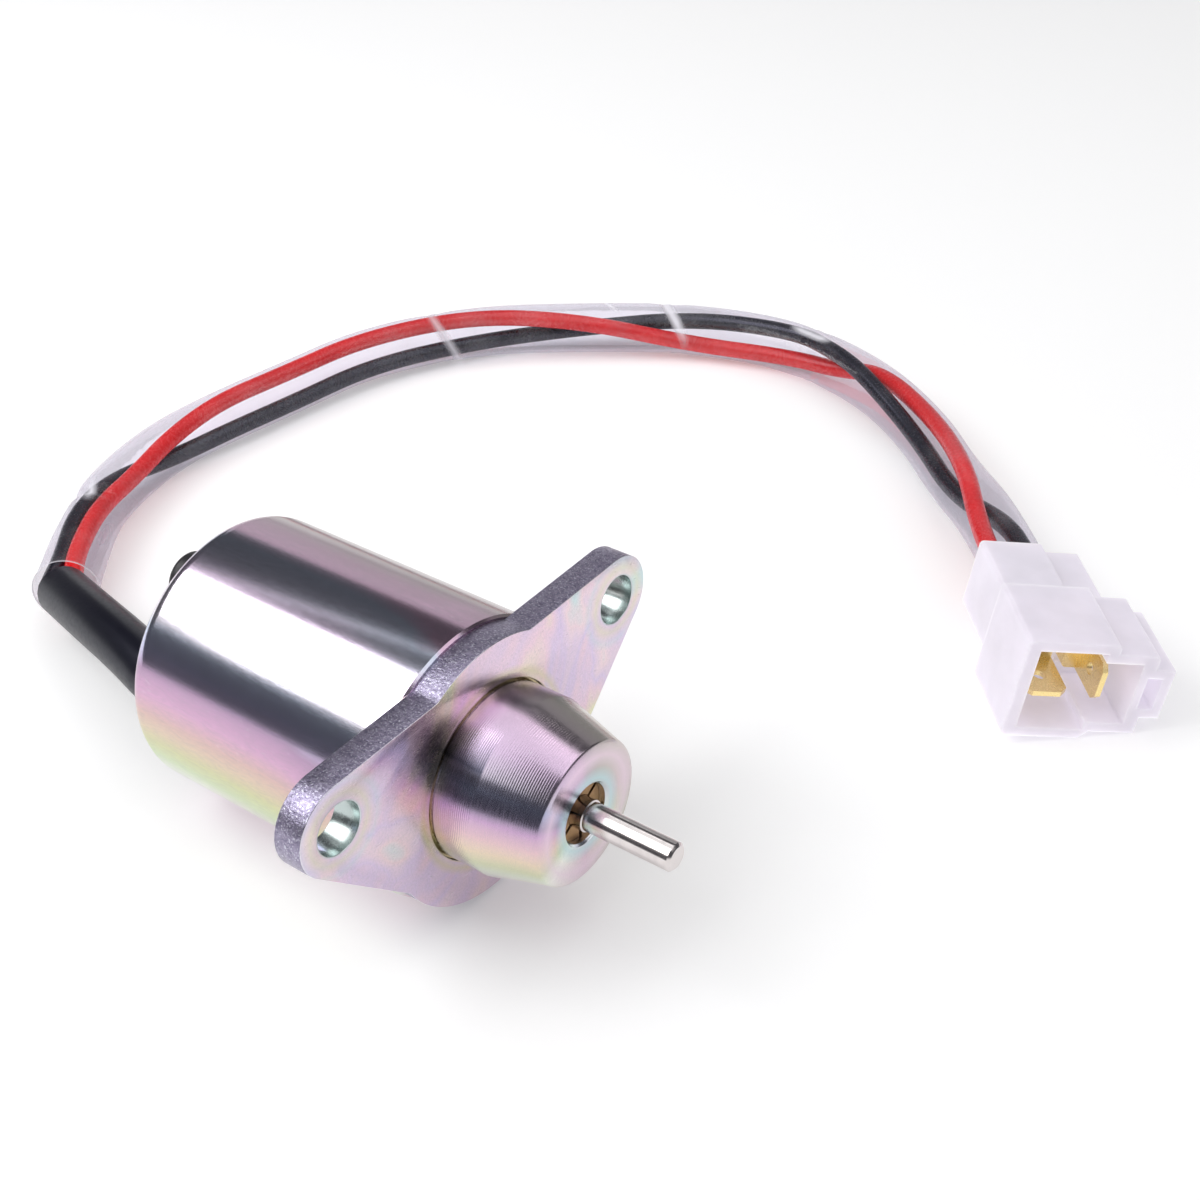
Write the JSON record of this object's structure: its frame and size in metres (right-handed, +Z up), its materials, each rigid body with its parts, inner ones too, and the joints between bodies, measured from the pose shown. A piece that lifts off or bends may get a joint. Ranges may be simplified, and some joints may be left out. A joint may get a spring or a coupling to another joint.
{
  "type": "fuel shutoff solenoid",
  "caption": "Push-type fuel shutoff solenoid: drawn can, two-hole mounting flange, tapered nose with a sprung push rod, and a sleeved lead to a plug housing.",
  "frame": {"origin": "on the push rod's axis, in the front face of the mounting flange", "axes": "+X along the push rod towards its free end, +Z up, +Y towards the ear on the lead's side"},
  "size_m": [0.178, 0.1754, 0.0381],
  "materials": {
    "plated_steel_can": "bright iridescent zinc plate",
    "plated_steel_flange": "iridescent zinc plate, sheared edges",
    "plated_steel_nose": "fine turned, iridescent zinc plate",
    "bronze": "sintered bronze",
    "inner_steel": "plain",
    "bobbin_nylon": "moulded",
    "winding_copper": "enamelled wire",
    "wrap_tape": "tape",
    "tube_brass": "drawn",
    "washer_plastic": "plain",
    "spring_steel": "drawn wire",
    "plunger_steel": "ground",
    "rod_steel": "bright nickel plate",
    "cap_plastic": "moulded black",
    "grommet_rubber": "moulded black",
    "boot_rubber": "soft black tube",
    "red_insulation": "smooth",
    "black_insulation": "smooth",
    "clear_vinyl": "clear, soft",
    "natural_nylon": "translucent white",
    "plated_brass": "bright"
  },
  "bodies": {
    "housing": {"body_can": "plated_steel_can", "mounting_flange": "plated_steel_flange", "nose_boss": "plated_steel_nose", "guide_bush": "bronze", "front_plate": "inner_steel", "rear_plate": "inner_steel", "rear_pole": "inner_steel", "bobbin": "bobbin_nylon", "coil_winding": "winding_copper", "coil_wrap": "wrap_tape", "guide_tube": "tube_brass", "stop_washer": "washer_plastic", "return_spring": "spring_steel", "rear_cap": "cap_plastic", "lead_grommet": "grommet_rubber", "lead_boot": "boot_rubber", "red_wire": "red_insulation", "black_wire": "black_insulation", "clear_sleeve": "clear_vinyl", "connector_housing": "natural_nylon", "flat_tab": "plated_brass", "upright_tab": "plated_brass"},
    "plunger_and_rod": {"plunger": "plunger_steel", "push_rod": "rod_steel"}
  },
  "joints": [
    {"name": "plunger_slide", "type": "slide", "parent": "housing", "child": "plunger_and_rod", "axis": [1, 0, 0], "range_m": [-0.01, 0], "stiffness_N_per_m": 500, "springref_m": 0.02, "deforming": ["return_spring"]}
  ]
}
